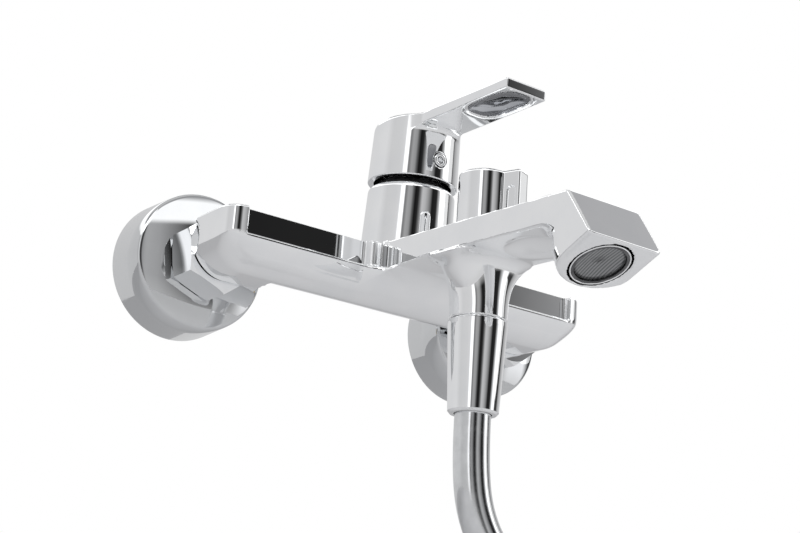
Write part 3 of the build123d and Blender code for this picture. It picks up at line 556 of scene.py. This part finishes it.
def handle_field(x, y, z):
    """Cap and lever in the cartridge's own frame."""
    x = np.abs(x)
    reach = np.hypot(x, y)
    radius = CAP_RADIUS - CAP_TAPER * (z - CAP_BOTTOM) / (CAP_TOP - CAP_BOTTOM)
    cap = soft_max(reach - radius, CAP_BOTTOM - z, 0.5)
    under = lever_bottom(y)
    blade = soft_max(x - LEVER_HALF, LEVER_TIP - y, 0.8)
    blade = soft_max(blade, under - z, 0.6)
    blade = np.maximum(blade, y)
    outline = pocket_radius(x, y)
    pocket = (np.sqrt(outline * outline + ((z - under) / POCKET_DEPTH) ** 2) - 1.0) * 4.0
    blade = soft_max(blade, -pocket, 0.7)
    solid = soft_min(cap, blade, 3.6)
    edge = 0.8 + 2.4 * np.clip((y + 14.0) / 16.0, 0.0, 1.0)
    solid = soft_max(solid, z - handle_top(y), edge)
    hollow = np.maximum(reach - radius + CAP_WALL, z - CAP_CEILING)
    hole = np.maximum(np.hypot(x, z - PLUG_HEIGHT) - PLUG_HOLE, y + 14.0)
    return soft_max(soft_max(solid, -hollow, 0.4), -hole, 0.5)


def make_handle(materials):
    """The handle, with painted shade in the hollow under its lever: a much darker chrome there."""
    handle = field_piece("handle_shell", handle_field, (-20.0, -74.0, 31.0), (20.0, 20.0, 61.5), 0.5,
                         CART_PLACE, materials["chrome"], "lever", "handle")
    handle.data.materials.append(materials["pocket_painted_shade"])
    back = CART_PLACE.inverted()
    # Faces inside the pocket take the dark chrome: painted shade in the hollow.
    for face in handle.data.polygons:
        middle = back @ (face.center / MM)
        if middle.z < CAP_TOP + 0.2 and pocket_radius(middle.x, middle.y) < 0.97:
            face.material_index = 1


# ---------------------------------------------------------------- diverter knob
KNOB_RADIUS = 10.7
KNOB_TOP = 33.8
KNOB_BOTTOM = 10.9
KNOB_TURN = math.radians(21.4)
KNOB_BORE = 9.0
KNOB_CEILING = 21.0
TAB_HALF = 3.48
TAB_REACH = 17.4
SLOT_MIDDLE = 21.6
SLOT_HALF = 3.6
SLOT_RADIUS = 1.75
SLOT_REACH = 13.6
SLOT_FLOOR = 2.5


def knob_field(x, y, z):
    """Round knob with a flat tab that has a slot in its side."""
    reach = np.hypot(x, y)
    drum = reach - KNOB_RADIUS
    tab = soft_max(soft_max(np.abs(x) - TAB_HALF, -TAB_REACH - y, 1.0), y, 0.5)
    beyond = np.maximum(np.abs(z - SLOT_MIDDLE) - SLOT_HALF, 0.0)
    slot = np.maximum(np.hypot(beyond, y + SLOT_REACH) - SLOT_RADIUS, x + SLOT_FLOOR)
    tab = soft_max(tab, -slot, 0.3)
    solid = soft_min(drum, tab, 0.8)
    solid = soft_max(solid, z - KNOB_TOP, 1.4)
    solid = soft_max(solid, KNOB_BOTTOM - z, 0.6)
    hollow = np.maximum(reach - KNOB_BORE, z - KNOB_CEILING)
    return soft_max(solid, -hollow, 0.3)


def make_knob(materials):
    place = Matrix.Translation((0.0, OUTLET_Y, 0.0)) @ Matrix.Rotation(KNOB_TURN, 4, "Z")
    field_piece("diverter_knob_shell", knob_field, (-11.6, -18.6, 10.0), (11.6, 11.6, 34.8), 0.4,
                place, materials["chrome"], "diverter", "diverter_knob")


# ---------------------------------------------------------------- turned pieces
def turned_piece(name, outline, place, material, body, segments=128):
    """Closed ring turned about the local Z axis from (radius, height) points given counter-clockwise."""
    points = []
    for step in range(segments):
        turn = 2.0 * math.pi * step / segments
        points += [place @ Vector((r * math.cos(turn), r * math.sin(turn), h)) * MM for r, h in outline]
    count = len(outline)
    faces = []
    for step in range(segments):
        here, there = step * count, (step + 1) % segments * count
        for index in range(count):
            after = (index + 1) % count
            faces.append((here + index, there + index, there + after, here + after))
    mesh = bpy.data.meshes.new(name)
    mesh.from_pydata([tuple(point) for point in points], [], faces)
    mesh.materials.append(material)
    mesh.polygons.foreach_set("use_smooth", np.ones(len(faces), dtype=bool))
    piece = bpy.data.objects.new(name, mesh)
    bpy.context.scene.collection.objects.link(piece)
    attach(piece, body)
    return piece


def arc_points(cx, cy, radius, first, last, count):
    """Points on an arc between two angles in degrees."""
    angles = [math.radians(first + (last - first) * step / (count - 1)) for step in range(count)]
    return [(cx + radius * math.cos(a), cy + radius * math.sin(a)) for a in angles]


DOME_STEP = 0.6
DOME_INNER = 14.2
DOME_SLOPE = 16.0


def cover_outline():
    """Section of a wall cover, radius against distance from the wall: a shallow dome with a rounded rim."""
    outline = [(29.5, 0.0), (28.9, 18.0), (28.75, 20.3)]
    outline += arc_points(27.0, 20.3, 1.7, 8, 70, 8)
    height = outline[-1][1]
    radius = outline[-1][0]
    while radius > DOME_INNER:
        height += DOME_STEP * math.tan(math.radians(DOME_SLOPE) * (radius / 28.0) ** 1.4)
        radius -= DOME_STEP
        outline.append((radius, height))
    outline += [(13.7, height - 0.1), (13.6, height - 0.5), (13.6, height - 1.0)]
    outline += [(20.0, height - 1.6), (26.0, 20.2), (27.4, 18.6), (28.5, 0.0)]
    return outline


def make_covers(materials):
    """Wall covers, one round each inlet."""
    for side, word in ((-1, "left"), (1, "right")):
        place = Matrix.Translation((side * INLET_X, 0.0, 0.0)) @ Matrix.Rotation(math.radians(90.0), 4, "X")
        # The covers take the toned-down chrome: painted shade that dims their reflection.
        cover = turned_piece(f"{word}_cover", cover_outline(), place, materials["cover_painted_shade"], "fixture")
        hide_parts(f"{word}_escutcheon")


SCREEN_SECTION = [(0.3, 2.1), (4.0, 1.95), (8.0, 1.5), (9.5, 1.2), (9.5, 2.4), (0.3, 2.7)]


def make_aerator(materials):
    """Screen and bright rim of the aerator; its housing and seal turn near-black, painted shade in the
    spout's opening.
    """
    place = Matrix.Translation((0.0, AERATOR_Y, AERATOR_Z)) @ Matrix.Rotation(-AERATOR_TILT, 4, "X")
    disc = turned_piece("aerator_mesh_disc", SCREEN_SECTION, place, materials["aerator_mesh"], "fixture", 64)
    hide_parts("aerator_insert", "aerator_screen")
    rim_section = arc_points(10.95, 0.45, 0.3, 0, 330, 12)
    rim = turned_piece("aerator_rim", rim_section, place, materials["chrome"], "fixture")
    # Housing and seal get the near-black material: painted shade round the screen.
    for node in ("aerator_housing", "aerator_seal"):
        frame["nodes"][node].data.materials[0] = materials["aerator_painted_shade"]


def make_plug_ring(materials):
    """Small bright ring round the plug that covers the handle's screw."""
    front = CART_PLACE @ Matrix.Translation((0.0, PLUG_FRONT, PLUG_HEIGHT))
    place = front @ Matrix.Rotation(math.radians(90.0), 4, "X")
    section = arc_points(2.2, 0.0, 0.85, 0, 345, 24)
    ring = turned_piece("plug_ring", section, place, materials["chrome"], "lever", 48)


# ---------------------------------------------------------------- hose
HOSE_RADIUS = 7.0 * MM
COIL_RADIUS = 83.5
COIL_PITCH = 14.6
COIL_CENTRE = (0.0, -118.0, -208.0)
COIL_FIRST = 45.0
COIL_LAST = 885.0
COIL_JOIN = 20.0
COIL_STEP = 24.0
HOSE_DROP = [
    (0.0, -112.0, -58.0),
    (-0.6, -112.4, -82.0),
    (3.6, -113.6, -104.0),
    (14.0, -118.0, -120.0),
]
HOSE_TAIL = [(-46.0, -82.31, -291.5), (-72.0, -82.31, -294.0), (-96.0, -82.31, -300.5)]


def coil_points():
    """Control points of the coil's turns; the spline runs inside them, on the coil's mid radius."""
    outer = COIL_RADIUS / (0.75 + 0.25 * math.cos(math.radians(COIL_STEP)))
    cx, cy, cz = COIL_CENTRE
    count = round((COIL_LAST - COIL_FIRST) / COIL_STEP)
    points = []
    for step in range(count + 1):
        angle = COIL_FIRST + (COIL_LAST - COIL_FIRST) * step / count
        turn = math.radians(angle)
        layer = COIL_PITCH * (angle - COIL_JOIN) / 360.0
        points.append((cx + outer * math.sin(turn), cy + layer, cz + outer * math.cos(turn)))
    return points


def make_hose(materials):
    """The shower hose: hanging start, coil and tail on one smooth spline."""
    curve = bpy.data.curves.new("shower_hose", "CURVE")
    curve.dimensions = "3D"
    curve.resolution_u = 24
    curve.bevel_depth = HOSE_RADIUS
    curve.bevel_resolution = 12
    curve.use_fill_caps = True
    points = [*HOSE_DROP, *coil_points(), *HOSE_TAIL]
    spline = curve.splines.new("NURBS")
    spline.points.add(len(points) - 1)
    for point, place in zip(spline.points, points):
        point.co = (place[0] * MM, place[1] * MM, place[2] * MM, 1.0)
    spline.order_u = 3
    spline.use_endpoint_u = True
    hose = bpy.data.objects.new("shower_hose", curve)
    bpy.context.scene.collection.objects.link(hose)
    curve.materials.append(materials["hose_sleeve"])
    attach(hose, "fixture")
    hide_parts("hose_tube", "hose_coil", "hose_tail")
    ends = [frame["nodes"][name] for name in ("hose_end_nut", "hose_end_ferrule", "coil_tie")]
    for piece in (hose, *ends):
        piece.visible_glossy = False


# ---------------------------------------------------------------- studio
CAMERA_PLACE = (-0.343196, -0.557870, -0.180154)
CAMERA_YAW = 34.381
CAMERA_PITCH = 17.224
CAMERA_ROLL = 4.117
CAMERA_LENS = 68.027


def make_camera():
    """Camera below and left of the mixer, turned about its own line of sight too."""
    yaw, pitch, roll = (math.radians(a) for a in (CAMERA_YAW, CAMERA_PITCH, CAMERA_ROLL))
    look = Vector((math.sin(yaw) * math.cos(pitch), math.cos(yaw) * math.cos(pitch), math.sin(pitch)))
    level = Vector((math.cos(yaw), -math.sin(yaw), 0.0))
    above = level.cross(look)
    right = math.cos(roll) * level + math.sin(roll) * above
    up = -math.sin(roll) * level + math.cos(roll) * above
    data = bpy.data.cameras.new("camera")
    data.lens = CAMERA_LENS
    data.sensor_width = 36.0
    data.clip_start = 0.01
    camera = bpy.data.objects.new("camera", data)
    turn = Matrix((right, up, -look)).transposed().to_4x4()
    camera.matrix_world = Matrix.Translation(CAMERA_PLACE) @ turn
    bpy.context.scene.collection.objects.link(camera)
    bpy.context.scene.camera = camera


# Tones that a polished upright cylinder shows, by the turn of its face from the camera, in degrees.
RING = [
    (-90, 0.66), (-60, 0.68), (-42, 0.70), (-33, 0.60), (-20, 0.62), (-14.5, 0.66),
    (-12.5, 1.35), (-9.0, 1.35), (-7.5, 0.15), (-3.5, 0.36), (0.5, 0.30), (3.0, 0.10),
    (5.5, 0.008), (9.5, 0.02), (12.0, 0.16), (15.0, 0.52), (19.0, 0.46), (23.0, 0.30),
    (26.0, 0.16), (28.5, 0.012), (35.5, 0.02), (39.0, 0.45), (42.0, 1.15), (48.0, 1.25),
    (50.5, 0.06), (58.0, 0.03), (62.0, 0.36), (70.0, 0.55), (80.0, 0.68), (90, 0.66),
]
RING_TURN = 124.4
RING_BLUE = 1.01
# Tones by height, from straight down at 0 to straight up at 1: red and green together, then blue.
LEVEL = [
    (0.0, 0.55, 0.56), (0.35, 0.62, 0.63), (0.5, 0.66, 0.66), (0.72, 0.66, 0.66), (0.745, 1.45, 1.45),
    (0.84, 1.45, 1.45), (0.86, 0.45, 0.46), (0.91, 0.39, 0.40), (0.93, 0.62, 0.62), (1.0, 0.72, 0.72),
]
# How much of the ring shows at a height.
RING_SHARE = [(0.42, 0.0), (0.54, 1.0), (0.745, 1.0), (0.765, 0.0)]


def make_world():
    """Studio for the reflections: a ring of tones round the object, other tones above and below it."""
    world = bpy.data.worlds.new("studio")
    world.use_nodes = True
    bpy.context.scene.world = world
    tree = world.node_tree
    tree.nodes.clear()
    output = tree.nodes.new("ShaderNodeOutputWorld")
    coordinates = tree.nodes.new("ShaderNodeTexCoord")
    mapping = tree.nodes.new("ShaderNodeMapping")
    mapping.inputs["Rotation"].default_value = (0.0, 0.0, math.radians(RING_TURN))
    tree.links.new(coordinates.outputs["Generated"], mapping.inputs["Vector"])
    radial = tree.nodes.new("ShaderNodeTexGradient")
    radial.gradient_type = "RADIAL"
    tree.links.new(mapping.outputs["Vector"], radial.inputs["Vector"])
    ring_stops = [((turn + 90.0) / 180.0, (tone, tone, tone * RING_BLUE)) for turn, tone in RING]
    ring = ramp(tree, radial.outputs["Fac"], ring_stops)
    split = tree.nodes.new("ShaderNodeSeparateXYZ")
    tree.links.new(coordinates.outputs["Generated"], split.inputs["Vector"])
    height = rescale(tree, split.outputs["Z"], (-1.0, 1.0), (0.0, 1.0))
    level = ramp(tree, height, [(place, (tone, tone, blue)) for place, tone, blue in LEVEL])
    weight = ramp(tree, height, [(place, (share, share, share)) for place, share in RING_SHARE])
    blend = tree.nodes.new("ShaderNodeMix")
    blend.data_type = "RGBA"
    tree.links.new(weight, blend.inputs["Factor"])
    tree.links.new(level, blend.inputs["A"])
    tree.links.new(ring, blend.inputs["B"])
    around = tree.nodes.new("ShaderNodeBackground")
    tree.links.new(blend.outputs["Result"], around.inputs["Color"])
    white = tree.nodes.new("ShaderNodeBackground")
    white.inputs["Color"].default_value = (1.0, 1.0, 1.0, 1.0)
    path = tree.nodes.new("ShaderNodeLightPath")
    choose = tree.nodes.new("ShaderNodeMixShader")
    tree.links.new(path.outputs["Is Camera Ray"], choose.inputs["Fac"])
    tree.links.new(around.outputs["Background"], choose.inputs[1])
    tree.links.new(white.outputs["Background"], choose.inputs[2])
    tree.links.new(choose.outputs["Shader"], output.inputs["Surface"])


# Floor tones from near to far: painted shade, the floor darker away from the camera.
FLOOR_NEAR = (0.80, 0.80, 0.805)
FLOOR_MIDDLE = (0.74, 0.74, 0.75)
FLOOR_FAR_SHADE = (0.52, 0.52, 0.53)
FLOOR_SPAN = (-1.6, 1.0)
FLOOR_REACH = 6.0
FLOOR_GAP = 0.03


def make_floor():
    """Plain pale floor under the hose, with painted shade that darkens it away from the camera."""
    low = CAD_BOX[0][2] - FLOOR_GAP
    mesh = bpy.data.meshes.new("floor")
    corners = [(-1, -1), (1, -1), (1, 1), (-1, 1)]
    mesh.from_pydata([(x * FLOOR_REACH, y * FLOOR_REACH, low) for x, y in corners], [], [(0, 1, 2, 3)])
    floor = bpy.data.objects.new("floor", mesh)
    bpy.context.scene.collection.objects.link(floor)
    material, tree, shader = new_material("floor")
    place = tree.nodes.new("ShaderNodeTexCoord")
    split = tree.nodes.new("ShaderNodeSeparateXYZ")
    tree.links.new(place.outputs["Object"], split.inputs["Vector"])
    depth = rescale(tree, split.outputs["Y"], FLOOR_SPAN, (0.0, 1.0))
    # Painted shade: the tone falls from near to far along the floor.
    tone = ramp(tree, depth, [(0.0, FLOOR_NEAR), (0.55, FLOOR_MIDDLE), (1.0, FLOOR_FAR_SHADE)])
    tree.links.new(tone, shader.inputs["Base Color"])
    shader.inputs["Roughness"].default_value = 0.9
    mesh.materials.append(material)


LIGHTS = [("key", (-0.9, -1.1, 1.3), 3.0), ("fill", (1.3, -0.7, 0.6), 1.5)]
LIGHT_SIZE = 0.9
LIGHT_AIM = (0.0, -0.08, 0.0)


def make_lights():
    """Two soft lights that leave the reflections to the studio."""
    for name, place, power in LIGHTS:
        data = bpy.data.lights.new(name, "AREA")
        data.shape = "DISK"
        data.size = LIGHT_SIZE
        data.energy = power
        data.specular_factor = 0.0
        light = bpy.data.objects.new(name, data)
        light.location = place
        aim = Vector(LIGHT_AIM) - Vector(place)
        light.rotation_euler = aim.to_track_quat("-Z", "Y").to_euler()
        bpy.context.scene.collection.objects.link(light)


def dress_nodes(materials):
    """Give every CAD piece the material of its slot."""
    for part in frame["record"]["subparts"]:
        node = frame["nodes"][part["node"]]
        node.data.materials.clear()
        node.data.materials.append(materials[part["material_slot"]])


def main():
    materials = make_materials()
    dress_nodes(materials)
    make_body(materials)
    make_handle(materials)
    make_knob(materials)
    make_covers(materials)
    make_plug_ring(materials)
    make_aerator(materials)
    make_hose(materials)
    make_floor()
    make_world()
    make_lights()
    make_camera()
    bpy.context.scene.view_settings.view_transform = "Standard"


main()
